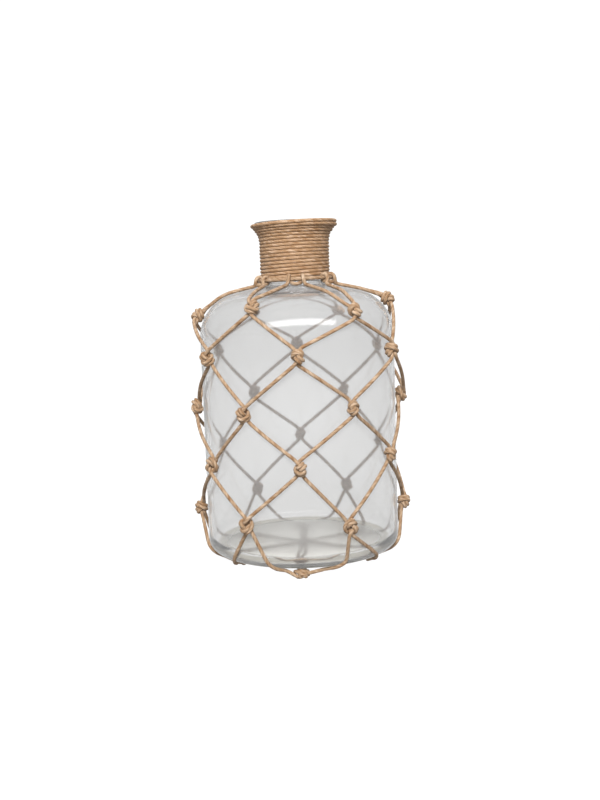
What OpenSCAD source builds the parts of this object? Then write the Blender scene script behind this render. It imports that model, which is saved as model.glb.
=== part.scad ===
// Glass bottle in a hand-tied cord net. Millimetres, Z up, front at -Y.
// The middle of the base is the origin. The bottle stands on the knots under it.

/* [Glass] */
// Outer diameter of the straight body
body_d = 152; // [144:1:160]
// Height of the straight body wall, above the underside of the glass
body_h = 169; // [160:1:178]
// Height of the whole bottle, above the underside of the glass
glass_h = 257; // [252:1:266]
// Outer diameter of the neck
neck_d = 49.2; // [46:0.2:52]
// Thickness of the body wall
body_wall = 3.6; // [3:0.1:4.4]
// Thickness of the neck wall and lip
neck_wall = 3.5; // [3:0.1:4]
// Thickness of the floor at its rim
floor_h = 5; // [4:0.5:7]
// Height of the hollow pushed up under the base
punt_h = 2; // [1:0.5:2.5]
// Radius of the rounded shoulder, seen from the side
shoulder_r = 35; // [32:0.5:37]
// Slope of the glass between shoulder and neck, in degrees
shoulder_slope = 13; // [11:0.5:15]
// Radius of the rounded heel
heel_r = 10; // [9:0.5:11]
// How far the lip flares out past the neck
flare_out = 6.2; // [5:0.1:7]
// Height of the flare, from straight neck to the middle of the lip
flare_h = 15.2; // [14:0.2:17]

/* [Cord] */
// Diameter of the net cord
net_cord_d = 3; // [2.6:0.1:3.2]
// Diameter of the cord laid round the foot of the neck
collar_cord_d = 3; // [2.6:0.1:3.2]
// Diameter of the thin cord wound round the neck
wrap_cord_d = 2.4; // [2.2:0.1:2.6]

/* [Net] */
// Diameter of a tied knot
knot_d = 11.4; // [10.6:0.2:12]
// Height of the knots of the second row, as a share of the body wall
row_2_at = 0.93; // [0.91:0.01:0.95]
// Height of the third row
row_3_at = 0.695; // [0.66:0.005:0.73]
// Height of the fourth row
row_4_at = 0.46; // [0.43:0.005:0.49]
// Height of the fifth row
row_5_at = 0.195; // [0.18:0.005:0.22]
// Distance of the base knots from the axis, as a share of the body radius
row_6_at = 0.88; // [0.86:0.01:0.9]
// Thickness of a base knot under the weight of the bottle
pressed_h = 7; // [6.6:0.1:7.4]

/* [Fits] */
// Clearance between a cord and whatever it lies on
fit_gap = 0.08; // [0.05:0.01:0.12]

/* [Hidden] */

glass_fn = 180;
turn_fn = 60;
cord_fn = 36;

glass_colour = [0.80, 0.84, 0.80, 0.45];
cord_colour = [0.72, 0.56, 0.43];

// the net repeats round the bottle, each row half a mesh on from the row above
mesh_count = 6;
mesh_angle = 360 / mesh_count;
half_mesh = mesh_angle / 2;

body_r = body_d / 2;
neck_r = neck_d / 2;
net_r = net_cord_d / 2;
wrap_r = wrap_cord_d / 2;
lip_r = neck_wall / 2;
knot_r = knot_d / 2;

// cords that would only touch are led this much clear, or this much into each other
nudge = net_cord_d / 30;

// the glass stands this high, on the pressed knots
foot_z = pressed_h;
foot_rim = 0.8 * heel_r;
punt_r = body_r - heel_r - foot_rim;
punt_ball_r = (punt_r * punt_r + punt_h * punt_h) / (2 * punt_h);

// shoulder: an arc, then a straight slope that is tangent to it and ends at the neck
arc_r = body_r - shoulder_r;
arc_z = foot_z + body_h;
slope_r = arc_r + shoulder_r * sin(shoulder_slope);
slope_z = arc_z + shoulder_r * cos(shoulder_slope);
neck_z = slope_z + (slope_r - neck_r) * tan(shoulder_slope);

// flare: an arc tangent to the neck, whose middle line ends at the middle of the lip
lip_z = foot_z + glass_h - lip_r;
flare_z = lip_z - flare_h;
flare_mid_r = (flare_h * flare_h + flare_out * flare_out) / (2 * flare_out);
flare_x = neck_r - lip_r + flare_mid_r;
flare_angle = asin(flare_h / flare_mid_r);

// the collar cord stands off the neck by the hitches that pass behind it
hitch_r = collar_cord_d / 2 + net_r + fit_gap;
collar_r = neck_r + fit_gap + net_r + hitch_r;
collar_z = neck_z - (collar_r - neck_r) * tan(shoulder_slope)
           + (hitch_r + net_r + fit_gap) / cos(shoulder_slope) + 3 * nudge;
hitch_angle = asin((net_r + 2 * nudge) / collar_r);

// a cord between two knots is a chord that only just clears the wall half way
seat_r = (body_r + net_r + fit_gap) / cos(half_mesh / 2);
knot_out = body_r + knot_r + fit_gap - seat_r;
row_1_angle = 33;
row_1_r = arc_r + (shoulder_r + seat_r - body_r) * cos(row_1_angle);
row_1_z = arc_z + (shoulder_r + seat_r - body_r) * sin(row_1_angle);

// where the cords of each row meet: [distance from the axis, height]; row 0 is the hitches
rows = [
  [collar_r + hitch_r, collar_z - 8 * nudge],
  [row_1_r, row_1_z],
  [seat_r, foot_z + row_2_at * body_h],
  [seat_r, foot_z + row_3_at * body_h],
  [seat_r, foot_z + row_4_at * body_h],
  [seat_r, foot_z + row_5_at * body_h],
  [row_6_at * body_r, foot_z / 2],
];
last_row = len(rows) - 1;

// length of a neighbour's cord that is part of the knot it goes into
stub = knot_r + knot_out + 4 * nudge;
tail_z = foot_z - 0.9 * net_cord_d;
// the knot that holds the ends of all the cords
gather_r = 2.87 * net_cord_d;

function around(turned, r, z) = [r * sin(turned), -r * cos(turned), z];
function is_odd(i) = i % 2 == 1;
function knot_turn(i, side) = is_odd(i) ? side * half_mesh : 0;
function knot_at(i, side) = around(knot_turn(i, side), rows[i][0], rows[i][1]);

// a cord that lies on the wall, and where the last run turns in over the heel
wall_via_r = body_r + net_r + fit_gap + 3 * nudge;
heel_turned = 13;
heel_bend_z = foot_z + 0.8 * heel_r;
function heel_bend(side) = around(side * heel_turned, wall_via_r, heel_bend_z);

// a hitch has two legs side by side, so a run from it starts off centre
function run_start(i, side) =
  i == 1 ? around(side * hitch_angle, rows[0][0], rows[0][1]) : knot_at(i - 1, side);
function run_end(i, side) = i == last_row ? heel_bend(side) : knot_at(i, side);

// height of a cord that lies on the shoulder at distance r from the axis
function on_shoulder(r) = arc_z + sqrt(pow(shoulder_r + net_r + 2 * nudge, 2) - pow(r - arc_r, 2));

// the point a bent run is led through, about half way along it
shoulder_via_r = arc_r + 0.4 * shoulder_r;
shoulder_turned = 19;
function run_via(i, side) =
  i == 1 ? around(side * shoulder_turned, shoulder_via_r, on_shoulder(shoulder_via_r) + 2 * nudge)
  : i == 2 ? around(side * half_mesh / 2, wall_via_r, (rows[1][1] + rows[2][1]) / 2 + 5 * nudge)
  : around(side * (half_mesh + heel_turned) / 2, wall_via_r,
           (rows[last_row - 1][1] + heel_bend_z) / 2 + 5 * nudge);

module turned_cord(r, d) {
  rotate_extrude($fn = turn_fn) translate([r, 0]) circle(d = d, $fn = cord_fn);
}

// straight cord, the part from distance s0 to s1 on the way from a to b
module straight_run(a, b, s0, s1) {
  w = (b - a) / norm(b - a);
  side = cross([0, 0, 1], w);
  u = side / norm(side);
  v = cross(w, u);
  at = a + w * s0;
  multmatrix([[u[0], v[0], w[0], at[0]],
              [u[1], v[1], w[1], at[1]],
              [u[2], v[2], w[2], at[2]]])
    cylinder(h = s1 - s0, r = net_r, $fn = cord_fn);
}

function circle_centre(a, m, b) =
  let (am = m - a, ab = b - a, n = cross(am, ab))
  a + (cross(n, am) * (ab * ab) + cross(ab, n) * (am * am)) / (2 * (n * n));

// angle turned on the way from a to b, seen from the centre c
function turned_by(a, b, c) = acos((a - c) * (b - c) / (norm(a - c) * norm(b - c)));

// cord on the circle through a, m and b, the part from distance s0 to s1
module bent_run(a, m, b, s0, s1) {
  c = circle_centre(a, m, b);
  r = norm(a - c);
  u = (a - c) / r;
  n = cross(m - a, b - a);
  w = n / norm(n);
  v = cross(w, u);
  multmatrix([[u[0], v[0], w[0], c[0]],
              [u[1], v[1], w[1], c[1]],
              [u[2], v[2], w[2], c[2]]])
    rotate([0, 0, s0 / r * 180 / PI])
      rotate_extrude(angle = (s1 - s0) / r * 180 / PI, $fn = 2 * turn_fn)
        translate([r, 0]) circle(r = net_r, $fn = cord_fn);
}

function is_bent(i) = i < 3 || i == last_row;
function run_length(i, side) =
  let (a = run_start(i, side), b = run_end(i, side))
  is_bent(i)
    ? let (c = circle_centre(a, run_via(i, side), b))
      turned_by(a, run_via(i, side), c) * PI / 180 * norm(a - c)
      + turned_by(run_via(i, side), b, c) * PI / 180 * norm(a - c)
    : norm(b - a);

// run i goes from row i - 1 down to row i, on the left (-1) or right (1) of the cord's hitch;
// the last one ends at the heel
module run(i, side, s0, s1) {
  a = run_start(i, side);
  b = run_end(i, side);
  if (is_bent(i)) bent_run(a, run_via(i, side), b, s0, s1);
  else straight_run(a, b, s0, s1);
}

// the knots of the odd rows on the left belong to the next cord: this run stops at their stubs
module left_run(i) {
  full = run_length(i, -1);
  if (is_odd(i)) run(i, -1, 0, full - stub - fit_gap);
  else run(i, -1, stub + fit_gap, full);
}

module left_stub(i) {
  full = run_length(i, -1);
  if (is_odd(i)) run(i, -1, full - stub, full);
  else run(i, -1, 0, stub);
}

// from the bend at the heel to the base knot, where the two cords lie side by side
heel_via_r = heel_r + net_r + 2.5 * nudge;
heel_via_turned = 5;
function heel_via(side) =
  around(side * heel_via_turned, body_r - heel_r + heel_via_r * cos(40),
         foot_z + heel_r - heel_via_r * sin(40));
function heel_end(side) = knot_at(last_row, side) + [side * (net_r + nudge), 0, 0];
function heel_length(side) =
  let (c = circle_centre(heel_bend(side), heel_via(side), heel_end(side)))
  turned_by(heel_bend(side), heel_end(side), c) * PI / 180 * norm(heel_bend(side) - c);

module heel_turn(side, s0, s1) {
  bent_run(heel_bend(side), heel_via(side), heel_end(side), s0, s1);
}

// two close turns with a third laid across them; Y points away from the glass
module knot_body() {
  ring = knot_r - net_r;
  rotate([0, 24, 0])
    rotate_extrude($fn = turn_fn) {
      for (z = [-0.45, 0.45] * net_cord_d)
        translate([ring, z]) circle(r = net_r, $fn = cord_fn);
      translate([0, -0.7 * net_cord_d]) square([ring, 1.4 * net_cord_d]);
    }
  rotate([0, -38, 0]) turned_cord(ring - 3 * nudge, net_cord_d);
}

module side_knot(i) {
  tilt = i == 1 ? row_1_angle : 0;
  rotate([0, 0, knot_turn(i, 1)])
    translate([0, -rows[i][0], rows[i][1]])
      rotate([-tilt, 0, 0])
        translate([0, -knot_out, 0])
          knot_body();
}

// pressed flat between the glass and what the bottle stands on
module base_knot() {
  intersection() {
    translate([0, -rows[last_row][0], rows[last_row][1]]) rotate([90, 0, 0]) knot_body();
    translate([-knot_d, -rows[last_row][0] - knot_d, 0])
      cube([2 * knot_d, 2 * knot_d, foot_z - fit_gap]);
  }
}

// the cords under the base, from the base knots to the one knot in which they all end
module tails() {
  for (side = [-1, 1]) {
    x = side * (net_r + 2 * nudge);
    straight_run([x, -rows[last_row][0], tail_z], [x, 0, tail_z],
                 0, rows[last_row][0] - 0.6 * gather_r);
  }
}

module gather_knot() {
  rotate_extrude($fn = turn_fn) {
    square([gather_r - foot_z / 2 + 4 * nudge, foot_z]);
    translate([gather_r - foot_z / 2, foot_z / 2]) circle(r = foot_z / 2, $fn = cord_fn);
  }
}

module hitch() {
  front = collar_r + hitch_r + net_r;
  for (side = [-1, 1])
    rotate([0, 0, side * hitch_angle])
      translate([0, -collar_r, collar_z])
        rotate([0, 90, 0]) turned_cord(hitch_r, net_cord_d);
  translate([0, -front, collar_z + 0.3 * net_cord_d]) {
    translate([-net_cord_d, 0, 0]) rotate([0, 90, 0])
      cylinder(h = 2 * net_cord_d, r = net_r, $fn = cord_fn);
    for (x = [-net_cord_d, net_cord_d]) translate([x, 0, 0]) sphere(r = net_r, $fn = cord_fn);
  }
}

// from the lowest side knot down the wall and round the heel
module heel_leg(side) {
  run(last_row, side, 0, run_length(last_row, side));
  translate(heel_bend(side)) sphere(r = net_r + 1.5 * nudge, $fn = cord_fn);
  heel_turn(side, 0, heel_length(side) - stub - fit_gap);
}

// one cord, folded in half on the collar cord, with the knots that it shares with the next
module net_cord(number) {
  color(cord_colour)
  rotate([0, 0, (number - 1) * mesh_angle])
  union() {
    hitch();
    for (i = [1:last_row - 1]) {
      run(i, 1, 0, run_length(i, 1));
      left_run(i);
      rotate([0, 0, mesh_angle]) left_stub(i);
      side_knot(i);
    }
    heel_leg(1);
    rotate([0, 0, mesh_angle]) heel_leg(-1);
  }
}

// what the bottle stands on: the six base knots and the ends of all the cords
module base_net() {
  color(cord_colour)
  union() {
    for (number = [1:mesh_count])
      rotate([0, 0, (number - 1) * mesh_angle]) {
        base_knot();
        for (side = [-1, 1]) heel_turn(side, heel_length(side) - stub, heel_length(side));
        tails();
      }
    gather_knot();
  }
}

// solid bottle shape, as half a section
module outer_section() {
  translate([0, foot_z]) square([body_r - heel_r, heel_r + 1]);
  translate([0, foot_z + heel_r]) square([body_r, body_h - heel_r]);
  intersection() {
    translate([body_r - heel_r, foot_z + heel_r]) circle(r = heel_r, $fn = 96);
    translate([0, foot_z]) square([body_r, 2 * heel_r]);
  }
  shoulder_section(shoulder_r, neck_r, arc_z - 0.1);
  translate([0, neck_z - 1]) square([neck_r, flare_z - neck_z + 1]);
}

// shoulder of radius r round the same centre, up to the neck at distance x
module shoulder_section(r, x, from_z) {
  x_slope = arc_r + r * sin(shoulder_slope);
  z_slope = arc_z + r * cos(shoulder_slope);
  polygon([[0, from_z], [arc_r + r * cos(1), from_z], [x_slope, z_slope],
           [x, z_slope + (x_slope - x) * tan(shoulder_slope)],
           [0, z_slope + (x_slope - x) * tan(shoulder_slope)]]);
  intersection() {
    translate([arc_r, arc_z]) circle(r = r, $fn = glass_fn);
    translate([arc_r - 1, from_z]) square([r + 2, r + 2]);
  }
}

module inner_section() {
  inner_r = body_r - body_wall;
  corner_r = 0.9 * heel_r;
  floor_z = foot_z + floor_h;
  translate([0, floor_z]) square([inner_r - corner_r, corner_r + 1]);
  translate([0, floor_z + corner_r]) square([inner_r, arc_z - floor_z - corner_r]);
  intersection() {
    translate([inner_r - corner_r, floor_z + corner_r]) circle(r = corner_r, $fn = 96);
    translate([0, floor_z]) square([inner_r, 2 * corner_r]);
  }
  shoulder_section(shoulder_r - body_wall, neck_r - neck_wall, arc_z - 0.1);
  translate([0, arc_z]) square([neck_r - neck_wall, flare_z - arc_z + 1]);
}

// wall of the flare with its rounded lip
module flare_section() {
  intersection() {
    translate([flare_x, flare_z]) difference() {
      circle(r = flare_mid_r + lip_r, $fn = glass_fn);
      circle(r = flare_mid_r - lip_r, $fn = glass_fn);
    }
    polygon([[flare_x, flare_z], [0, flare_z],
             [0, flare_z + flare_x * tan(flare_angle)]]);
  }
  translate([neck_r - lip_r + flare_out, lip_z]) circle(r = lip_r, $fn = 96);
}

module bottle() {
  color(glass_colour)
  rotate_extrude($fn = glass_fn) {
    difference() {
      outer_section();
      inner_section();
      translate([0, foot_z + punt_h - punt_ball_r]) circle(r = punt_ball_r, $fn = 720);
      translate([-body_d, 0]) square([body_d, 2 * glass_h]);
    }
    flare_section();
  }
}

module collar_cord() {
  color(cord_colour)
  translate([0, 0, collar_z])
    rotate_extrude($fn = glass_fn) translate([collar_r, 0])
      circle(d = collar_cord_d, $fn = cord_fn);
}

// one cord wound in close turns, each pressed a little into the next
module neck_wrap() {
  off = wrap_r + fit_gap;
  pitch = 0.97 * wrap_cord_d;
  start_z = collar_z + sqrt(pow(hitch_r + net_r + wrap_r + fit_gap, 2)
                            - pow(collar_r - neck_r - off, 2));
  neck_turns = ceil((flare_z - start_z) / pitch);
  flare_step = 2 * asin(pitch / 2 / (flare_mid_r - lip_r - off));
  flare_turns = ceil(flare_angle / flare_step);
  lip_step = 2 * asin(pitch / 2 / (lip_r + off));

  color(cord_colour)
  rotate_extrude($fn = glass_fn) {
    for (i = [0:neck_turns])
      translate([neck_r + off, start_z + (flare_z - start_z) * i / neck_turns])
        circle(r = wrap_r, $fn = cord_fn);
    for (i = [1:flare_turns])
      translate([flare_x, flare_z])
        rotate([0, 0, -flare_angle * i / flare_turns])
          translate([-flare_mid_r + lip_r + off, 0]) circle(r = wrap_r, $fn = cord_fn);
    for (i = [1:2])
      translate([neck_r - lip_r + flare_out, lip_z])
        rotate([0, 0, -flare_angle + lip_step * i])
          translate([lip_r + off, 0]) circle(r = wrap_r, $fn = cord_fn);
  }
}

bottle();
neck_wrap();
collar_cord();
net_cord(1);  // net_cord_1
net_cord(2);  // net_cord_2
net_cord(3);  // net_cord_3
net_cord(4);  // net_cord_4
net_cord(5);  // net_cord_5
net_cord(6);  // net_cord_6
base_net();
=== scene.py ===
# Clear glass bottle in a net of hand-tied cord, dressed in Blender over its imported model.
# Lengths in this file are millimetres until a mesh is made, angles are degrees round the
# bottle: 0 faces the camera and 90 is to its right.
from math import atan2, ceil, cos, hypot, pi, radians, sin, sqrt, tan

import bpy
import numpy as np
from mathutils import Matrix, Vector


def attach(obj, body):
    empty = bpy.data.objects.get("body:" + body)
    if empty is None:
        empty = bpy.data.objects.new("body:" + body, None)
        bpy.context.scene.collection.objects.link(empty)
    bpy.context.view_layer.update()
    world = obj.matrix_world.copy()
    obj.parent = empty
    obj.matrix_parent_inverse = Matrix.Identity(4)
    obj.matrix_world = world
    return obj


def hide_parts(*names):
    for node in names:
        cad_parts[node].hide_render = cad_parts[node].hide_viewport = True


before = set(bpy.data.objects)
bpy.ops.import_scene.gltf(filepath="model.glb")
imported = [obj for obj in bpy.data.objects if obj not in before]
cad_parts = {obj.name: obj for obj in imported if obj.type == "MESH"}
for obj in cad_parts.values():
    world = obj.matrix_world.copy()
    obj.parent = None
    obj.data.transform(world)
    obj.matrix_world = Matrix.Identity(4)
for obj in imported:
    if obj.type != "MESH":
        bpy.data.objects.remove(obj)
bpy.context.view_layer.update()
scene = bpy.context.scene
mm = 0.001


def spot(angle, reach, height):
    turn = radians(angle)
    return np.array([reach * sin(turn), -reach * cos(turn), height])


def arc(centre, radius, start, end, steps):
    turns = np.radians(np.linspace(start, end, steps + 1))
    return [(centre[0] + radius * cos(t), centre[1] + radius * sin(t)) for t in turns]


def line(start, end, steps):
    return [tuple(np.array(start) + (np.array(end) - start) * k / steps) for k in range(steps + 1)]


def joined(*parts):
    path = []
    for part in parts:
        for point in part:
            if not path or hypot(point[0] - path[-1][0], point[1] - path[-1][1]) > 0.02:
                path.append(point)
    return np.array(path)


# Node trees

def addNode(tree, kind, inputs=None, **settings):
    node = tree.nodes.new(kind)
    for name, value in settings.items():
        setattr(node, name, value)
    for name, value in (inputs or {}).items():
        socket = node.inputs[name]
        if isinstance(value, bpy.types.NodeSocket):
            tree.links.new(value, socket)
        else:
            socket.default_value = value
    return node


def math(tree, operation, *values):
    node = addNode(tree, "ShaderNodeMath", operation=operation)
    for socket, value in zip(node.inputs, values):
        if isinstance(value, bpy.types.NodeSocket):
            tree.links.new(value, socket)
        else:
            socket.default_value = value
    return node.outputs[0]


def newMaterial(name):
    material = bpy.data.materials.new(name)
    material.use_nodes = True
    tree = material.node_tree
    tree.nodes.clear()
    shader = addNode(tree, "ShaderNodeBsdfPrincipled")
    output = addNode(tree, "ShaderNodeOutputMaterial")
    tree.links.new(shader.outputs["BSDF"], output.inputs["Surface"])
    return material, tree, shader, output


def ramp(tree, factor, stops):
    node = addNode(tree, "ShaderNodeValToRGB", {"Fac": factor})
    band = node.color_ramp
    while len(band.elements) < len(stops):
        band.elements.new(0.5)
    for element, (place, colour) in zip(band.elements, stops):
        element.position = place
        element.color = (*colour, 1.0)
    return node.outputs["Color"]


# Camera

cameraForm = {
    "place": (0.0006, -0.750, 0.215),
    "lookDown": 6.9,
    "lean": -1.9,
    "lens": 42.75,
}


def makeCamera(form):
    data = bpy.data.cameras.new("studioCamera")
    data.sensor_width = 36.0
    data.lens = form["lens"]
    camera = bpy.data.objects.new("studioCamera", data)
    turn = Matrix.Rotation(radians(90 - form["lookDown"]), 4, "X")
    turn = turn @ Matrix.Rotation(radians(form["lean"]), 4, "Z")
    camera.matrix_world = Matrix.Translation(form["place"]) @ turn
    scene.collection.objects.link(camera)
    scene.camera = camera


makeCamera(cameraForm)


# The glass

bottleForm = {
    "foot": 7.0,
    "punt": 2.0,
    "bodyRadius": 76.0,
    "wall": 3.6,
    "heel": 10.0,
    "floor": 12.0,
    "innerHeel": 9.0,
    "shoulderStart": 176.0,
    "shoulderRadius": 35.0,
    "slope": 13.0,
    "neckRadius": 24.6,
    "neckWall": 3.5,
    "neckFoot": 215.71,
    "neckFillet": 4.0,
    "flareStart": 247.05,
    "flareRadius": 21.73,
    "flareTurn": 44.4,
    "lipRadius": 1.75,
    "sides": 160,
    "outerWave": 0.05,
    "innerWave": 0.24,
}


def outerSection(form):
    body, heel, foot = form["bodyRadius"], form["heel"], form["foot"]
    footEdge = body - heel
    reach = np.linspace(0.0, footEdge - 7.0, 14)
    punt = [(r, foot + 0.3 + (form["punt"] - 0.3) * (1 - (r / (footEdge - 7.0)) ** 2)) for r in reach]
    ring = [(footEdge - 5.2, foot + 0.14), (footEdge - 3.4, foot + 0.04), (footEdge - 1.6, foot)]
    bend = arc((footEdge, foot + heel), heel, -90, 0, 12)
    wall = line((body, foot + heel), (body, form["shoulderStart"]), 44)
    middle = (body - form["shoulderRadius"], form["shoulderStart"])
    shoulder = arc(middle, form["shoulderRadius"], 0, 90 - form["slope"], 26)
    tilt, neck, fillet = radians(form["slope"]), form["neckRadius"], form["neckFillet"]
    centre = (neck + fillet, form["neckFoot"] - fillet * tan(tilt) + fillet / cos(tilt))
    foot = arc(centre, fillet, 270 - form["slope"], 180, 10)
    slope = line(shoulder[-1], foot[0], 6)
    stem = line((neck, centre[1]), (neck, form["flareStart"]), 10)
    flareAt = (neck + form["flareRadius"], form["flareStart"])
    flare = arc(flareAt, form["flareRadius"], 180, 180 - form["flareTurn"], 12)
    return joined(punt, ring, bend, wall, shoulder, slope, foot, stem, flare)


def innerSection(form):
    wall, neckWall = form["wall"], form["neckWall"]
    bore = form["neckRadius"] - neckWall
    flareAt = (bore + form["flareRadius"], form["flareStart"])
    flare = arc(flareAt, form["flareRadius"], 180 - form["flareTurn"], 180, 12)
    tilt, rim = radians(form["slope"]), 3.0
    under = form["neckFoot"] - wall / cos(tilt) + (form["neckRadius"] - bore) * tan(tilt)
    centre = (bore + rim, under - rim * tan(tilt) + rim / cos(tilt))
    stem = line((bore, form["flareStart"]), (bore, centre[1]), 8)
    edge = arc(centre, rim, 180, 270 - form["slope"], 8)
    middle = (form["bodyRadius"] - form["shoulderRadius"], form["shoulderStart"])
    shoulder = arc(middle, form["shoulderRadius"] - wall, 90 - form["slope"], 0, 24)
    slope = line(edge[-1], shoulder[0], 6)
    inside, heel, floor = form["bodyRadius"] - wall, form["innerHeel"], form["floor"]
    side = line((inside, form["shoulderStart"]), (inside, floor + heel), 44)
    bend = arc((inside - heel, floor + heel), heel, 0, -90, 10)
    reach = np.linspace(inside - heel, 0.0, 14)
    dome = [(r, floor + 0.8 * (1 - (r / (inside - heel)) ** 2) ** 2) for r in reach]
    return joined(flare, stem, edge, slope, shoulder, side, bend, dome)


glassOutline = outerSection(bottleForm)


def makeBottle(form):
    outer, inner = glassOutline, innerSection(form)
    tip = outer[-1]
    turn = radians(180 - form["flareTurn"])
    out = np.array([-cos(turn), -sin(turn)])
    lipAt = (tip + inner[0]) / 2
    half = np.linalg.norm(tip - inner[0]) / 2
    start = np.degrees(atan2(*(tip - lipAt)[::-1]))
    lip = np.array(arc(lipAt, half, start, start + 180, 10))[1:-1]
    section = np.vstack([outer, lip, inner])
    wave = np.concatenate([np.full(len(outer), form["outerWave"]), np.zeros(len(lip)),
                           np.full(len(inner), form["innerWave"])])
    flow = np.clip(section[:, 0] / 40.0, 0, 1) ** 2
    sides = form["sides"]
    rings = []
    for k in range(sides):
        a = 2 * pi * k / sides
        h = section[:, 1]
        ripple = (np.sin(2 * a + 0.9 + h * 0.013) + 0.6 * np.sin(3 * a - 1.1 - h * 0.021)
                  + 0.45 * np.sin(5 * a + 2.3 + h * 0.034) + 0.5 * np.sin(h * 0.045 + 0.7 * sin(a)))
        r = section[:, 0] + wave * flow * ripple * 0.5
        rings.append(np.stack([r * sin(a), -r * cos(a), h], 1))
    grid = np.array(rings)
    bottom, top = grid[0, 0].copy(), grid[0, -1].copy()
    body = grid[:, 1:-1]
    rows = body.shape[1]
    verts = np.vstack([body.reshape(-1, 3), [bottom, top]])
    faces = []
    for k in range(sides):
        n = (k + 1) % sides
        for j in range(rows - 1):
            faces.append((k * rows + j, n * rows + j, n * rows + j + 1, k * rows + j + 1))
        faces.append((len(verts) - 2, n * rows, k * rows))
        faces.append((len(verts) - 1, k * rows + rows - 1, n * rows + rows - 1))
    mesh = bpy.data.meshes.new("bottleGlass")
    mesh.from_pydata((verts * mm).tolist(), [], faces)
    mesh.polygons.foreach_set("use_smooth", [True] * len(mesh.polygons))
    mesh.update()
    bottle = bpy.data.objects.new("bottleGlass", mesh)
    scene.collection.objects.link(bottle)
    return bottle


glassFinish = {
    "roughness": (0.06, 0.30),        # wall, floor of the bottle
    "colour": ((1.0, 1.0, 1.0), (1.0, 0.98, 0.91)),
    "rim": (0.36, 0.33, 0.25),        # painted shade: a dark line on the thick foot's outer edge, in place of the floor's shadow and the cords seen through the heel
    "ior": 1.5,
    "veil": 0.09,
    "tint": (0.74, 0.73, 0.64),
    "density": 3.0,
    "smear": 0.08,
}


def makeGlassMaterial(form):
    material, tree, shader, output = newMaterial("clearBottleGlass")
    shader.inputs["IOR"].default_value = form["ior"]
    place = addNode(tree, "ShaderNodeTexCoord").outputs["Object"]
    split = addNode(tree, "ShaderNodeSeparateXYZ", {"Vector": place}).outputs
    level = addNode(tree, "ShaderNodeVectorMath", {0: place, 1: (1, 1, 0)}, operation="MULTIPLY").outputs[0]
    reach = addNode(tree, "ShaderNodeVectorMath", {0: level}, operation="LENGTH").outputs["Value"]
    middle = addNode(tree, "ShaderNodeMapRange", {"Value": reach, "From Min": 0.070, "From Max": 0.060}).outputs[0]
    low = addNode(tree, "ShaderNodeMapRange", {"Value": split["Z"], "From Min": 0.022, "From Max": 0.014}).outputs[0]
    onFloor = math(tree, "MULTIPLY", middle, low)
    wall, floor = form["colour"]
    # painted shade: below 9.4 mm and beyond 63 mm from the middle, the glass colour turns to the dark rim colour
    edge = addNode(tree, "ShaderNodeMapRange", {"Value": split["Z"], "From Min": 0.0100, "From Max": 0.0094}).outputs[0]
    outer = addNode(tree, "ShaderNodeMapRange", {"Value": reach, "From Min": 0.061, "From Max": 0.063}).outputs[0]
    rim = addNode(tree, "ShaderNodeMix", {"Factor": math(tree, "MULTIPLY", edge, outer),
                                          6: ramp(tree, onFloor, [(0.0, wall), (1.0, floor)]),
                                          7: (*form["rim"], 1)}, data_type="RGBA").outputs[2]
    tree.links.new(rim, shader.inputs["Base Color"])
    clear = addNode(tree, "ShaderNodeMapRange", {"Value": onFloor, "To Min": 1 - form["veil"], "To Max": 1.0}).outputs[0]
    tree.links.new(clear, shader.inputs["Transmission Weight"])
    smooth, worn = form["roughness"]
    rough = addNode(tree, "ShaderNodeMapRange", {"Value": onFloor, "To Min": smooth, "To Max": worn}).outputs[0]
    tree.links.new(rough, shader.inputs["Roughness"])
    pulled = addNode(tree, "ShaderNodeMapping", {"Vector": place, "Scale": (9.0, 9.0, 34.0)})
    swirl = addNode(tree, "ShaderNodeTexNoise", {"Vector": pulled.outputs[0], "Scale": 1.0, "Detail": 2.0})
    low = addNode(tree, "ShaderNodeMapRange", {"Value": split["Z"], "From Min": 0.15, "From Max": 0.02,
                                                "To Min": 0.12, "To Max": 1.0})
    amount = math(tree, "MULTIPLY", swirl.outputs["Fac"], low.outputs[0])
    bump = addNode(tree, "ShaderNodeBump", {"Height": amount, "Strength": form["smear"], "Distance": 0.004})
    tree.links.new(bump.outputs[0], shader.inputs["Normal"])
    absorb = addNode(tree, "ShaderNodeVolumeAbsorption")
    absorb.inputs["Color"].default_value = (*form["tint"], 1.0)
    absorb.inputs["Density"].default_value = form["density"]
    tree.links.new(absorb.outputs[0], output.inputs["Volume"])
    return material


bottle = makeBottle(bottleForm)
bottle.data.materials.append(makeGlassMaterial(glassFinish))
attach(bottle, "root")
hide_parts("bottle")
bottle.visible_diffuse = False
print("bottle blown:", len(bottle.data.polygons), "faces")


# How cord lies against the glass

def glassGap(points):
    flat = np.stack([np.hypot(points[:, 0], points[:, 1]), points[:, 2]], 1)
    start, along = glassOutline[:-1], np.diff(glassOutline, axis=0)
    away = flat[:, None] - start
    t = np.clip((away * along).sum(2) / (along ** 2).sum(1), 0, 1)
    away = away - t[..., None] * along
    far = (away ** 2).sum(2)
    near = far.argmin(1)
    rows = np.arange(len(points))
    away, run = away[rows, near], along[near]
    out = np.stack([run[:, 1], -run[:, 0]], 1) / np.linalg.norm(run, axis=1)[:, None]
    side = np.sign((away * out).sum(1))
    gap = np.sqrt(far[rows, near])
    clear = gap > 1e-6
    out[clear] = away[clear] / gap[clear, None] * np.where(side[clear] == 0, 1, side[clear])[:, None]
    return gap * side, out


def liftOff(points, thick):
    gap, out = glassGap(points)
    push = np.maximum(thick - gap, 0)
    round_ = np.hypot(points[:, 0], points[:, 1])
    ray = points[:, :2] / np.maximum(round_, 1e-6)[:, None]
    points[:, :2] += ray * (out[:, 0] * push)[:, None]
    points[:, 2] += out[:, 1] * push
    points[:, 2] = np.maximum(points[:, 2], thick)
    return points


# Knots: two strands laid side by side along a loose overhand knot, drawn up until they grip

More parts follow.
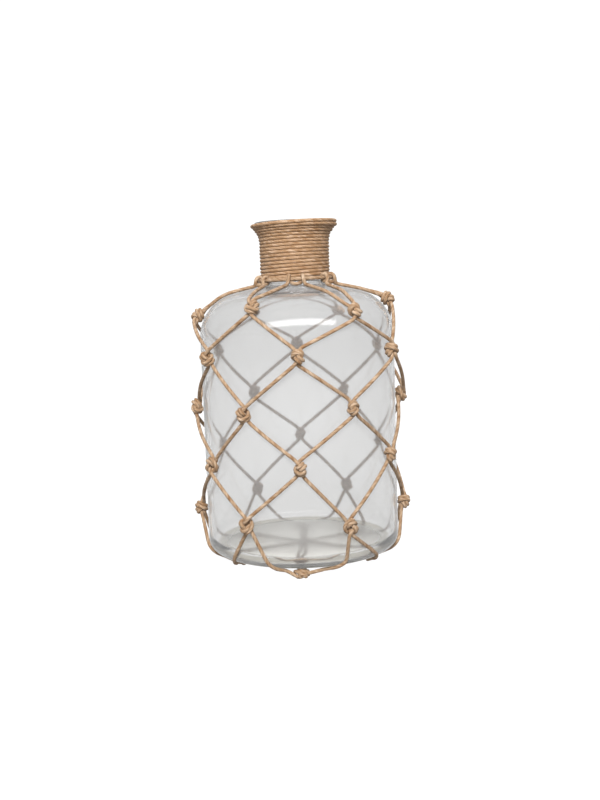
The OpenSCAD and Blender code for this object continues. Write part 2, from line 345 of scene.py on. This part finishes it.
knotForm = {
    "strand": 2.15,       # contact thickness while the knot is drawn up
    "size": 1.24,         # the drawn knot is enlarged by this
    "squash": 0.94,
    "loose": 2.6,
    "reach": 14.0,
    "under": 1.3,
    "steps": 900,
    "segments": 96,
    "stiffness": 0.1,
    "draw": 0.9965,
    "keep": 7.2,
    "seed": 11,
}


def evenly(path, count):
    far = np.concatenate([[0], np.cumsum(np.linalg.norm(np.diff(path, axis=0), axis=1))])
    at = np.linspace(0, far[-1], count + 1)
    return np.stack([np.interp(at, far, path[:, k]) for k in range(3)], 1)


def soften(path, rounds, share=None):
    share = np.ones(len(path)) if share is None else share
    for k in range(rounds):
        path[1:-1] += 0.5 * share[1:-1, None] * (0.5 * (path[:-2] + path[2:]) - path[1:-1])
    return path


def unit(v):
    return v / np.linalg.norm(v)


def looseKnot(count, size, turn):
    t = np.linspace(pi + 0.35, 3 * pi - 0.35, 240)
    across = size * (np.cos(t) - 2 * np.cos(2 * t))
    out = -1.3 * size * np.sin(3 * t)
    up = size * (np.sin(t) + 2 * np.sin(2 * t))
    core = np.stack([across, out, up], 1)
    top = np.array([0, 0, 6.0 * size])
    path = np.vstack([np.linspace(top, core[0], 40)[:-1], core, np.linspace(core[-1], -top, 40)[1:]])
    path = soften(evenly(path, count - 1), 30)
    c, s = cos(turn), sin(turn)
    return np.stack([c * path[:, 0] - s * path[:, 1], s * path[:, 0] + c * path[:, 1], path[:, 2]], 1)


def looseStrands(form, turn, ends):
    centre = looseKnot(400, form["loose"], turn)
    heading = np.gradient(centre, axis=0)
    heading /= np.linalg.norm(heading, axis=1)[:, None]
    across = np.zeros_like(centre)
    across[0] = unit(np.array([1, 0, 0]) - heading[0] * heading[0][0])
    for k in range(1, len(centre)):
        across[k] = unit(across[k - 1] - heading[k] * (across[k - 1] @ heading[k]))
    last = unit(np.array([1, 0, 0]) - heading[-1] * heading[-1][0])
    twist = atan2(last @ np.cross(heading[-1], across[-1]), last @ across[-1])
    turns = np.linspace(0, twist, len(centre))[:, None]
    lean = np.cos(turns) * across + np.sin(turns) * np.cross(heading, across)
    strands = [centre + side * 0.55 * form["strand"] * lean for side in (-1, 1)]
    strands.sort(key=lambda points: points[0][0])
    full = []
    for points, high, low in zip(strands, ends[:2], ends[2:]):
        path = np.vstack([np.linspace(high, points[0], 10)[:-1], points, np.linspace(points[-1], low, 10)[1:]])
        full.append(evenly(path, form["segments"]))
    return np.vstack(full)


def drawUp(form, looks):
    # every look is a turn of the loose knot, with the glass behind it and what presses on it
    chance = np.random.default_rng(form["seed"])
    reach, low = form["reach"] * 0.7071, -form["under"]
    ends = [np.array(p) for p in ((-reach, low, reach), (reach, low, reach), (-reach, low, -reach), (reach, low, -reach))]
    points = np.array([looseStrands(form, turn, ends) for turn, near, far in looks])
    half, kinds, thick = form["segments"] + 1, len(looks), form["strand"]
    count = 2 * half
    free = np.ones(count)
    free[[0, half - 1, half, count - 1]] = 0
    points += chance.normal(0, 0.03, points.shape) * free[None, :, None]
    near = np.array([look[1] for look in looks])[:, None]
    far = np.array([look[2] for look in looks])[:, None]
    link = np.array([k for k in range(count - 1) if k != half - 1])
    inner = np.array([k for k in range(1, count - 1) if k not in (half - 1, half)])
    length = np.linalg.norm(np.diff(points[:, :half], axis=1), axis=2).mean(1)
    strand, serial = np.repeat([0, 1], half), np.arange(count)
    for step in range(form["steps"]):
        for first in (link[::2], link[1::2]):
            stretch = points[:, first + 1] - points[:, first]
            size = np.linalg.norm(stretch, axis=2)
            share = ((size - length[:, None]) / size)[..., None] * stretch
            w0, w1 = free[first][None, :, None], free[first + 1][None, :, None]
            both = np.maximum(w0 + w1, 1e-9)
            points[:, first] += share * w0 / both
            points[:, first + 1] -= share * w1 / both
        middle = 0.5 * (points[:, inner - 1] + points[:, inner + 1])
        points[:, inner] += form["stiffness"] * (middle - points[:, inner])
        if step % 4 == 0:
            gap = np.linalg.norm(points[:, :, None] - points[:, None], axis=3)
            beside = int(ceil(1.5 * thick / float(length.mean())))
            same = (strand[:, None] == strand) & (abs(serial[:, None] - serial) < beside)
            look, one, two = np.nonzero((gap < 1.35 * thick) & ~same & (serial[:, None] < serial))
        apart = points[look, one] - points[look, two]
        gap = np.linalg.norm(apart, axis=1) + 1e-6
        deep = np.maximum(thick - gap, 0)
        push = (0.45 * deep / gap)[:, None] * apart
        one_, two_, size = look * count + one, look * count + two, kinds * count
        hits = np.bincount(one_, deep > 0, size) + np.bincount(two_, deep > 0, size)
        hits = np.sqrt(np.maximum(hits, 1)).reshape(kinds, count)
        move = np.stack([np.bincount(one_, push[:, k], size) - np.bincount(two_, push[:, k], size) for k in range(3)], 1)
        points += move.reshape(kinds, count, 3) * (free / hits)[..., None]
        ease = max(0.0, 1 - step / (0.55 * form["steps"]))
        pressed = np.clip(points[..., 1], near - (9 + near) * ease, far + (9 - far) * ease)
        points[..., 1] = np.where(free > 0, pressed, points[..., 1])
        if step > 30:
            worst = np.zeros(kinds)
            np.maximum.at(worst, look, deep / thick)
            length *= np.where(worst < 0.12, form["draw"], np.where(worst > 0.2, 1.002, 1.0))
    return [(points[k, :half], points[k, half:]) for k in range(kinds)]


def trimmed(form, pair, glassSide):
    # the drawn knot enlarged, set on its seat, and cut where its four cords leave it
    pair = [soften(evenly(strand, 190), 3) * form["size"] for strand in pair]
    core = np.vstack([strand[np.linalg.norm(strand[:, [0, 2]], axis=1) < 5.5] for strand in pair])
    middle = (core.min(0) + core.max(0)) / 2
    middle[1] = core[:, 1].min() - glassSide
    cut = []
    for strand in pair:
        strand = strand - middle
        strand[:, 2] *= form["squash"]
        inside = np.nonzero(np.linalg.norm(strand, axis=1) < form["keep"])[0]
        cut.append(strand[inside[0]:inside[-1] + 1])
    return cut


def mirrored(pair):
    return [strand * np.array([-1, 1, 1]) for strand in pair[::-1]]


def upended(pair):
    return [strand[::-1] * np.array([1, 1, -1]) for strand in pair]


wallLooks = [(turn, -3.0, 9.0) for turn in (0.0, 0.8, 1.6, 2.4, 3.1, 4.0)]
floorLooks = [(turn, -1.75, 1.75) for turn in (0.4, 2.0)]
drawn = drawUp(knotForm, wallLooks + floorLooks)
wallKnots = [trimmed(knotForm, pair, -2.95) for pair in drawn[:6]]
wallKnots += [mirrored(pair) for pair in wallKnots[1:5]] + [upended(pair) for pair in wallKnots[2:5]]
floorKnots = [trimmed(knotForm, pair, -2.1) for pair in drawn[6:]]
floorKnots += [mirrored(pair) for pair in floorKnots]
print("knots tied:", len(drawn))


# The net's plan: where each knot sits

netForm = {
    "cord": 1.40,
    "inKnot": 1.34,
    "seat": 4.32,
    "step": 0.4,
    "frontReach": 66.2,
    "baseReach": 53.0,
    "underReach": 67.0,
    "baseKeep": 5.9,
}
rowHeights = {1: 197.4, 2: 164.2, 3: 124.5, 4: 84.7, 5: 40.0, 6: 3.5}
handTied = {
    (1, -30): (-26, 2.7), (1, 30): (33.5, -2.7), (1, -90): (-90, -4.2), (1, 90): (90, 4.2),
    (2, -60): (-56, -1.0), (2, 60): (60, 1.0), (3, -30): (-30, -0.9), (3, 30): (28.6, 0.9),
    (3, -90): (-90, -2.5), (3, 90): (90, 2.5), (4, 0): (-0.6, 0.0), (4, -60): (-56, -2.3),
    (4, 60): (56, 2.3), (5, -30): (-31, 1.3), (5, 30): (25.3, -1.3), (6, 0): (-2, 0.0),
}


heelTurns = {(0, -1): 20.0, (0, 1): 24.0, (1, -1): 14.0, (1, 1): 19.0, (2, 1): 15.0, (3, -1): 20.0,
             (4, -1): 14.0, (5, -1): 19.0, (5, 1): 16.0}


def wrapAngle(angle):
    return (angle + 180) % 360 - 180


def knotSeat(row, angle):
    plain = wrapAngle(angle)
    angle, lift = handTied.get((row, plain), (plain, 0.0))
    height, form = rowHeights[row] + lift, bottleForm
    shoulder = form["shoulderRadius"] + netForm["seat"]
    if row == 6:
        tilt, reach = -pi / 2, netForm["baseReach"] if plain else netForm["frontReach"]
    elif height > form["shoulderStart"]:
        tilt = np.arcsin((height - form["shoulderStart"]) / shoulder)
        reach = form["bodyRadius"] - form["shoulderRadius"] + shoulder * cos(tilt)
    else:
        tilt, reach = 0.0, form["bodyRadius"] + netForm["seat"]
    place = spot(angle, reach, height)
    right = spot(angle + 90, 1, 0)
    out = spot(angle, cos(tilt), sin(tilt))
    up = spot(angle, -sin(tilt), cos(tilt))
    return place, np.array([right, out, up])


def towards(seat, other):
    place, axes = seat
    local = axes @ (other - place)
    local[1] = 0
    return local / np.linalg.norm(local)


# Hitches: each cord's fold passes behind the collar cord and its two legs come back through it

collarForm = {
    "reach": 29.26,
    "height": 219.71,
    "thickness": 1.5,
    "tilt": 0.6,
    "hitchSwell": 0.32,
    "hitchLeg": [(-7.4, 2.6, -4.6), (-6.0, 3.0, -2.2), (-5.5, 2.9, 0.4), (-5.2, 1.9, 2.3), (-5.0, 0.0, 3.0),
                 (-4.7, -2.0, 2.2), (-4.5, -2.9, 0.0), (-4.1, -2.0, -2.2), (-3.6, 0.2, -2.9),
                 (-2.9, 2.4, -2.8), (-1.9, 3.3, -3.2), (-0.7, 3.6, -3.6), (0.0, 3.65, -3.65)],
    "unevenness": {0: 1.0, 1: -2.0, 2: 3.0, 3: 0.0, 4: -2.0, 5: 1.5},
}


def hitchPath(number, side):
    form = collarForm
    angle = 60 * number + form["unevenness"][number]
    middle = spot(angle, form["reach"], form["height"] + form["tilt"] * sin(radians(angle)))
    right, out = spot(angle + 90, 1, 0), spot(angle, 1, 0)
    path = []
    for x, y, z in form["hitchLeg"]:
        path.append(middle - side * x * right + 1.08 * y * out + np.array([0, 0, 1.08 * z]))
    return np.array(path)


def placeKnot(row, angle, strand, above, below):
    seat = knotSeat(row, angle)
    kinds = floorKnots if row == 6 else wallKnots
    pick = kinds[(0 if row == 6 else int(wrapAngle(angle) / 30 * 5 + row * 3 + 600)) % len(kinds)]
    local = pick[0 if strand == "left" else 1].copy()
    place, axes = seat
    return place + local @ axes


def tautRun(start, end, thick, via=None):
    def flat(p):
        return np.array([np.degrees(atan2(p[0], -p[1])), hypot(p[0], p[1]), p[2]])
    a, b = flat(start), flat(end)
    b[0] = a[0] + wrapAngle(b[0] - a[0])
    length = np.linalg.norm(start - end)
    count = max(int(length / 1.6), 6)
    path = np.array([spot(*(a + (b - a) * k / count)) for k in range(count + 1)])
    for k in range(160):
        path[1:-1] += 0.5 * (0.5 * (path[:-2] + path[2:]) - path[1:-1])
        path[1:-1] = liftOff(path[1:-1].copy(), thick)
    return path


def heelPoint(angle):
    form = bottleForm
    thick = netForm["cord"]
    tilt = radians(-28)
    reach = form["bodyRadius"] - form["heel"] + (form["heel"] + thick) * cos(tilt)
    return spot(angle, reach, form["foot"] + form["heel"] + (form["heel"] + thick) * sin(tilt))


def legPath(number, side):
    # from the fold at the collar down to the knot under the base; side 1 goes down to the right
    thick = netForm["cord"]
    places = [(row, 60 * number + (30 * side if row % 2 else 0)) for row in range(1, 7)]
    hitch = hitchPath(number, side)[::-1]
    path, slack = [evenly(hitch, 40)], [np.full(41, 0.35)]
    last = hitch[-1]
    for row, angle in places:
        strand = "left" if (row % 2 == 1) == (side > 0) else "right"
        knot = placeKnot(row, angle, strand, None, None)
        if row == 6:
            turned = heelTurns.get((number, side), 17.0)
            knot = knot[np.linalg.norm(knot - knotSeat(6, angle)[0], axis=1) < netForm["baseKeep"]]
            crossing = heelPoint(60 * number + side * turned)
            below = spot(60 * number + side * 0.62 * turned, netForm["underReach"], bottleForm["foot"] - thick)
            run = np.vstack([tautRun(last, crossing, thick), tautRun(crossing, below, thick)[1:],
                             tautRun(below, knot[0], thick)[1:]])
        else:
            run = tautRun(last, knot[0], thick)
        path.append(run[1:-1])
        slack.append(np.ones(len(run) - 2))
        if row == 6:
            break
        inside = np.minimum(np.arange(len(knot)), np.arange(len(knot))[::-1]) / 6.0
        path.append(knot)
        slack.append(1 - np.clip(inside, 0, 1))
        last = knot[-1]
    path.append(knot[:1])
    slack.append(np.ones(1))
    return np.vstack(path), np.concatenate(slack), knot


def eased(path, slack, step):
    # slack is 1 along a run, where the cord evens out, and 0 inside a knot
    far = np.concatenate([[0], np.cumsum(np.linalg.norm(np.diff(path, axis=0), axis=1))])
    at = np.linspace(0, far[-1], int(far[-1] / step) + 1)
    fine = np.stack([np.interp(at, far, path[:, k]) for k in range(3)], 1)
    share = np.interp(at, far, slack)
    for k in range(5):
        fine = soften(fine, 12, 0.03 + 0.97 * share)
        fine[1:-1] = liftOff(fine[1:-1].copy(), netForm["cord"] * 0.92)
    width = 1 - (1 - netForm["inKnot"] / netForm["cord"]) * (1 - share)
    away = np.hypot(np.hypot(fine[:, 0], fine[:, 1]) - collarForm["reach"], fine[:, 2] - collarForm["height"])
    return fine, width * (1 + collarForm["hitchSwell"] * np.clip(2.4 - away / 4.0, 0, 1))


# Cord: a twisted tube swept along its path by Geometry Nodes

def cordTree():
    tree = bpy.data.node_groups.new("twistedCord", "GeometryNodeTree")
    face = tree.interface
    face.new_socket("Path", in_out="INPUT", socket_type="NodeSocketGeometry")
    for name, value in (("Radius", 0.0014), ("Twist Length", 0.015), ("Step", 0.00055), ("Lobe Depth", 0.05),
                        ("Unevenness", 0.08)):
        face.new_socket(name, in_out="INPUT", socket_type="NodeSocketFloat").default_value = value
    for name, value in (("Sides", 15), ("Plies", 3), ("Seed", 0)):
        face.new_socket(name, in_out="INPUT", socket_type="NodeSocketInt").default_value = value
    face.new_socket("Finish", in_out="INPUT", socket_type="NodeSocketMaterial")
    face.new_socket("Cord", in_out="OUTPUT", socket_type="NodeSocketGeometry")
    given = tree.nodes.new("NodeGroupInput").outputs
    curve = addNode(tree, "GeometryNodeMeshToCurve", {"Mesh": given["Path"]})
    curve = addNode(tree, "GeometryNodeResampleCurve", {"Curve": curve.outputs[0], "Length": given["Step"]}, mode="LENGTH")
    curve = addNode(tree, "GeometryNodeSetCurveNormal", {"Curve": curve.outputs[0]}, mode="MINIMUM_TWIST")
    along = addNode(tree, "GeometryNodeSplineParameter").outputs["Length"]
    turn = math(tree, "MULTIPLY", math(tree, "DIVIDE", along, given["Twist Length"]), 2 * pi)
    curve = addNode(tree, "GeometryNodeSetCurveTilt", {"Curve": curve.outputs[0], "Tilt": turn})
    width = addNode(tree, "GeometryNodeInputNamedAttribute", {"Name": "width"}, data_type="FLOAT")
    noise = addNode(tree, "ShaderNodeTexNoise", {"W": math(tree, "ADD", math(tree, "MULTIPLY", along, 160.0), given["Seed"]),
                                                  "Scale": 1.0}, noise_dimensions="1D")
    swell = math(tree, "MULTIPLY", math(tree, "SUBTRACT", noise.outputs[0], 0.5), given["Unevenness"])
    radius = math(tree, "MULTIPLY", width.outputs["Attribute"], math(tree, "ADD", swell, 1.0))
    curve = addNode(tree, "GeometryNodeSetCurveRadius", {"Curve": curve.outputs[0], "Radius": radius})
    curve = addNode(tree, "GeometryNodeStoreNamedAttribute", {"Geometry": curve.outputs[0], "Name": "along", "Value": along},
                    data_type="FLOAT", domain="POINT")
    ring = addNode(tree, "GeometryNodeCurvePrimitiveCircle", {"Resolution": given["Sides"], "Radius": given["Radius"]})
    place = addNode(tree, "GeometryNodeSplineParameter").outputs["Factor"]
    lobe = math(tree, "ABSOLUTE", math(tree, "COSINE", math(tree, "MULTIPLY", math(tree, "MULTIPLY", place, given["Plies"]), pi)))
    depth = math(tree, "ADD", math(tree, "MULTIPLY", math(tree, "SUBTRACT", lobe, 1.0), given["Lobe Depth"]), 1.0)
    shape = addNode(tree, "ShaderNodeVectorMath", {"Scale": depth}, operation="SCALE")
    tree.links.new(addNode(tree, "GeometryNodeInputPosition").outputs[0], shape.inputs[0])
    ring = addNode(tree, "GeometryNodeStoreNamedAttribute", {"Geometry": ring.outputs[0], "Name": "around", "Value": place},
                   data_type="FLOAT", domain="POINT")
    ring = addNode(tree, "GeometryNodeSetPosition", {"Geometry": ring.outputs[0], "Position": shape.outputs[0]})
    tube = addNode(tree, "GeometryNodeCurveToMesh", {"Curve": curve.outputs[0], "Profile Curve": ring.outputs[0],
                                                      "Fill Caps": True})
    tube = addNode(tree, "GeometryNodeSetShadeSmooth", {"Geometry": tube.outputs[0]})
    tube = addNode(tree, "GeometryNodeRealizeInstances", {"Geometry": tube.outputs[0]})
    tube = addNode(tree, "GeometryNodeSetMaterial", {"Geometry": tube.outputs[0], "Material": given["Finish"]})
    tree.links.new(tube.outputs[0], addNode(tree, "NodeGroupOutput").inputs[0])
    return tree


cordNodes = cordTree()


def spin(name, paths, finish, closed=False, **sizes):
    mesh = bpy.data.meshes.new(name + "Path")
    verts, edges, widths = [], [], []
    for path, width in paths:
        first = len(verts)
        verts.extend((path * mm).tolist())
        widths.extend(width)
        edges.extend((k, k + 1) for k in range(first, len(verts) - 1))
        if closed:
            edges.append((len(verts) - 1, first))
    mesh.from_pydata(verts, edges, [])
    mesh.attributes.new("width", "FLOAT", "POINT").data.foreach_set("value", widths)
    guide = bpy.data.objects.new(name + "Path", mesh)
    scene.collection.objects.link(guide)
    sweep = guide.modifiers.new("cord", "NODES")
    sweep.node_group = cordNodes
    sockets = {item.name: item.identifier for item in cordNodes.interface.items_tree if item.in_out == "INPUT"}
    for key, value in {"Finish": finish, **sizes}.items():
        sweep[sockets[key]] = value
    made = bpy.data.meshes.new_from_object(guide.evaluated_get(bpy.context.evaluated_depsgraph_get()))
    guide.modifiers.remove(sweep)
    bpy.data.objects.remove(guide)
    made.name = name
    piece = bpy.data.objects.new(name, made)
    piece.visible_glossy = False    # its mirror image in the glass is too faint to see in the photo
    scene.collection.objects.link(piece)
    return piece


netCordForm = {
    "dark": (0.19, 0.082, 0.024),
    "middle": (0.37, 0.242, 0.145),
    "light": (0.63, 0.485, 0.355),
    "paintedGrooveShade": 0.07,
    "patch": 0.25,
    "sheen": 0.05,
    "plies": 3,
    "roughness": 0.66,
    "fibre": 0.8,
}
wrapCordForm = {
    "dark": (0.14, 0.045, 0.006),
    "middle": (0.39, 0.235, 0.125),
    "light": (0.72, 0.55, 0.41),
    "paintedGrooveShade": 0.04,
    "patch": 0.14,
    "sheen": 0.0,
    "plies": 3,
    "roughness": 0.66,
    "fibre": 0.8,
}


def makeCordMaterial(name, form):
    material, tree, shader, output = newMaterial(name)
    along = addNode(tree, "ShaderNodeAttribute", attribute_name="along").outputs["Fac"]
    around = addNode(tree, "ShaderNodeAttribute", attribute_name="around").outputs["Fac"]
    angle = math(tree, "MULTIPLY", around, 2 * pi)
    fibres = addNode(tree, "ShaderNodeCombineXYZ", {
        "X": math(tree, "MULTIPLY", along, 120.0),
        "Y": math(tree, "MULTIPLY", math(tree, "COSINE", angle), 3.2),
        "Z": math(tree, "MULTIPLY", math(tree, "SINE", angle), 3.2)})
    streak = addNode(tree, "ShaderNodeTexNoise", {"Vector": fibres.outputs[0], "Scale": 1.6, "Detail": 4.0})
    # painted shade: the colour is darker in the grooves between the plies and lighter on their crests
    lobe = math(tree, "ABSOLUTE", math(tree, "COSINE", math(tree, "MULTIPLY", around, form["plies"] * pi)))
    patch = addNode(tree, "ShaderNodeTexNoise", {"W": along, "Scale": 130.0, "Detail": 3.0}, noise_dimensions="1D")
    shade = math(tree, "ADD", math(tree, "MULTIPLY", streak.outputs["Fac"], 0.48), math(tree, "MULTIPLY", patch.outputs["Fac"], form["patch"]))
    shade = math(tree, "ADD", shade, math(tree, "MULTIPLY", lobe, form["paintedGrooveShade"]))
    half = 0.24 + 0.5 * form["patch"] + 0.64 * form["paintedGrooveShade"]
    stops = [(half - 0.13, form["dark"]), (half, form["middle"]), (half + 0.13, form["light"])]
    colour = ramp(tree, shade, stops)
    tree.links.new(colour, shader.inputs["Base Color"])
    shader.inputs["Roughness"].default_value = form["roughness"]
    shader.inputs["Specular IOR Level"].default_value = 0.3
    shader.inputs["Sheen Weight"].default_value = form["sheen"]
    shader.inputs["Sheen Roughness"].default_value = 0.5
    bump = addNode(tree, "ShaderNodeBump", {"Height": streak.outputs["Fac"], "Strength": form["fibre"], "Distance": 0.0004})
    tree.links.new(bump.outputs[0], shader.inputs["Normal"])
    return material


netCordFinish = makeCordMaterial("netCordFibre", netCordForm)
wrapCordFinish = makeCordMaterial("wrapCordFibre", wrapCordForm)

baseStrands = []
for number in range(6):
    left, leftSlack, leftKnot = legPath(number, -1)
    right, rightSlack, rightKnot = legPath(number, 1)
    path = np.vstack([left[::-1], right[1:]])
    path, width = eased(path, np.concatenate([leftSlack[::-1], rightSlack[1:]]), netForm["step"])
    piece = spin("netCord" + str(number + 1), [(path, width)], netCordFinish, Seed=number,
                 Radius=netForm["cord"] * mm)
    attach(piece, "root")
    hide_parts("net_cord_" + str(number + 1))
    baseStrands.append((leftKnot, rightKnot))
    print("net cord", number + 1, "faces", len(piece.data.polygons))


gatherForm = {
    "reach": 5.0,
    "swing": 2.6,
    "rise": 1.2,
    "height": 4.1,
    "leads": 3,
    "bights": 8,
}


def makeBaseNet(form):
    paths = []
    for number, knots in enumerate(baseStrands):
        for knot, side in zip(knots, (-1, 1)):
            inward = tautRun(knot[-1], spot(60 * number + side * 9, 6.0, 4.4), netForm["cord"])
            inside = np.minimum(np.arange(len(knot)), np.arange(len(knot))[::-1]) / 6.0
            slack = np.concatenate([1 - np.clip(inside, 0, 1), np.ones(len(inward) - 1)])
            paths.append(eased(np.vstack([knot, inward[1:]]), slack, netForm["step"]))
    t = np.linspace(0, 2 * pi * form["leads"], 400)
    swing = form["bights"] / form["leads"]
    reach = form["reach"] + form["swing"] * np.cos(swing * t)
    height = form["height"] + form["rise"] * np.sin(2 * swing * t)
    paths.append((np.stack([reach * np.sin(t), -reach * np.cos(t), height], 1), np.full(len(t), 0.95)))
    return spin("baseNet", paths, netCordFinish, Seed=9, Radius=netForm["cord"] * mm)


baseNet = makeBaseNet(gatherForm)
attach(baseNet, "root")
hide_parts("base_net")

turns = np.linspace(0, 360, 181)[:-1]
ring = np.array([spot(a, collarForm["reach"], collarForm["height"] + collarForm["tilt"] * sin(radians(a)))
                 for a in turns])
ring = liftOff(ring, collarForm["thickness"])
collar = spin("collarCord", [(ring, np.full(len(ring), 1.0))], netCordFinish, closed=True, Radius=0.0015)
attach(collar, "root")
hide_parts("collar_cord")


wrapForm = {
    "radius": 1.34,
    "pitch": 2.5,
    "start": 221.2,
    "lipEnd": 30,
    "bulge": 0.14,
    "lean": (1.2, 0.25, 0.9),
    "topBand": 0.5,
}


def wrapSection(form):
    thick, glass = form["radius"], bottleForm
    stem = line((glass["neckRadius"] + thick, form["start"]), (glass["neckRadius"] + thick, glass["flareStart"]), 24)
    flareAt = (glass["neckRadius"] + glass["flareRadius"], glass["flareStart"])
    flare = arc(flareAt, glass["flareRadius"] - thick, 180, 180 - glass["flareTurn"] + 6, 20)
    lipAt = (29.05, 262.25)
    lip = arc(lipAt, glass["lipRadius"] + thick, -20, form["lipEnd"], 12)
    return joined(stem, flare, lip)


def makeWrap(form):
    section = wrapSection(form)
    far = np.concatenate([[0], np.cumsum(np.linalg.norm(np.diff(section, axis=0), axis=1))])
    rounds = int(far[-1] / form["pitch"])
    t = np.linspace(0, rounds, rounds * 190)
    chance = np.random.default_rng(3)
    knots = np.linspace(0, rounds, rounds * 3)
    bulge = np.interp(t, knots, chance.normal(0, form["bulge"], len(knots)))
    a = 2 * pi * t + 2.6
    lean = np.interp(t, [0, 0.4 * rounds, 0.75 * rounds, rounds], [*form["lean"][:2], form["lean"][1], form["lean"][2]])
    at = np.clip(t / rounds * far[-1] + lean * (np.sin(a) - 0.6), 0, far[-1])
    reach, height = np.interp(at, far, section[:, 0]), np.interp(at, far, section[:, 1])
    reach = reach + np.maximum(bulge, -0.1) + form["topBand"] * np.clip(t - rounds + 4, 0, 1)
    path = np.stack([reach * np.sin(a), -reach * np.cos(a), height], 1)
    return spin("neckWrap", [(path, np.ones(len(path)))], wrapCordFinish, Radius=form["radius"] * mm,
                Step=0.0011, Sides=14, **{"Unevenness": 0.14, "Lobe Depth": 0.03, "Twist Length": 0.024})


neckWrap = makeWrap(wrapForm)
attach(neckWrap, "root")
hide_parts("neck_wrap")
print("cords spun: wrap", len(neckWrap.data.polygons), "base", len(baseNet.data.polygons))


# Studio: pale floor, soft boxes and an even pale surround

studioForm = {
    "floorSize": 8.0,
    "floorColour": (0.10, 0.10, 0.10, 1),
    "floorGlow": (0.70, 0.27),
    "underGlow": 0.96,
    "floorSeen": 1.0,
    "surround": (0.70, 0.28),
    "boxes": {
        "shine": ((0.10, -0.95, 1.00), 1.9, 0.34, 11.0),
        "top": ((0.0, 0.1, 1.45), 1.1, 1.1, 6.0),
        "front": ((-0.05, -1.3, 1.00), 0.4, 0.4, 34.0),
        "backLeft": ((-0.8, 1.3, 0.9), 0.9, 0.9, 6.0),
        "backRight": ((0.8, 1.3, 0.9), 0.9, 0.9, 6.0),
    },
    "aim": (0, 0, 0.15),
}


def byRay(tree, through, onCords, direct):
    # how bright the surround is through the glass, as light on the cords, and as the white backdrop
    ray = addNode(tree, "ShaderNodeLightPath").outputs
    soft = addNode(tree, "ShaderNodeMix", {"Factor": ray["Is Diffuse Ray"], "A": through, "B": onCords})
    return addNode(tree, "ShaderNodeMix", {"Factor": ray["Is Camera Ray"], "A": soft.outputs[0], "B": direct})


def makeStudio(form):
    half = form["floorSize"] / 2
    mesh = bpy.data.meshes.new("studioFloor")
    mesh.from_pydata([(-half, -half, 0), (half, -half, 0), (half, half, 0), (-half, half, 0)], [], [(0, 1, 2, 3)])
    floor = bpy.data.objects.new("studioFloor", mesh)
    scene.collection.objects.link(floor)
    material, tree, shader, output = newMaterial("paleFloor")
    shader.inputs["Base Color"].default_value = form["floorColour"]
    shader.inputs["Roughness"].default_value = 1.0
    shader.inputs["Specular IOR Level"].default_value = 0.0
    place = addNode(tree, "ShaderNodeTexCoord").outputs["Object"]
    reach = addNode(tree, "ShaderNodeVectorMath", {0: place}, operation="LENGTH").outputs["Value"]
    through, onCords = form["floorGlow"]
    # painted light: within 40 to 62 mm of the middle the floor glows brighter for rays through the glass, a pool of
    # light under the bottle
    through = addNode(tree, "ShaderNodeMapRange", {"Value": reach, "From Min": 0.040, "From Max": 0.062,
                                                   "To Min": form["underGlow"], "To Max": through}).outputs[0]
    glow = byRay(tree, through, onCords, form["floorSeen"])
    shader.inputs["Emission Color"].default_value = (1, 1, 1, 1)
    tree.links.new(glow.outputs[0], shader.inputs["Emission Strength"])
    mesh.materials.append(material)
    for name, (place, width, height, power) in form["boxes"].items():
        light = bpy.data.lights.new(name + "Box", "AREA")
        light.shape = "RECTANGLE"
        light.size, light.size_y = width, height
        light.energy = power
        box = bpy.data.objects.new(name + "Box", light)
        box.location = place
        box.rotation_euler = (Vector(form["aim"]) - Vector(place)).to_track_quat("-Z", "Y").to_euler()
        scene.collection.objects.link(box)
        box.visible_diffuse = name != "shine"    # the shine is only mirrored, the others only light
        box.visible_glossy = name == "shine"
        box.visible_transmission = name == "shine"
    world = bpy.data.worlds.new("studioSurround")
    world.use_nodes = True
    tree = world.node_tree
    tree.nodes.clear()
    level = byRay(tree, *form["surround"], 1.1)
    back = addNode(tree, "ShaderNodeBackground", {"Color": (1, 1, 1, 1), "Strength": level.outputs[0]})
    tree.links.new(back.outputs[0], addNode(tree, "ShaderNodeOutputWorld").inputs["Surface"])
    scene.world = world
    scene.view_settings.view_transform = "Standard"


makeStudio(studioForm)
print("studio lit")
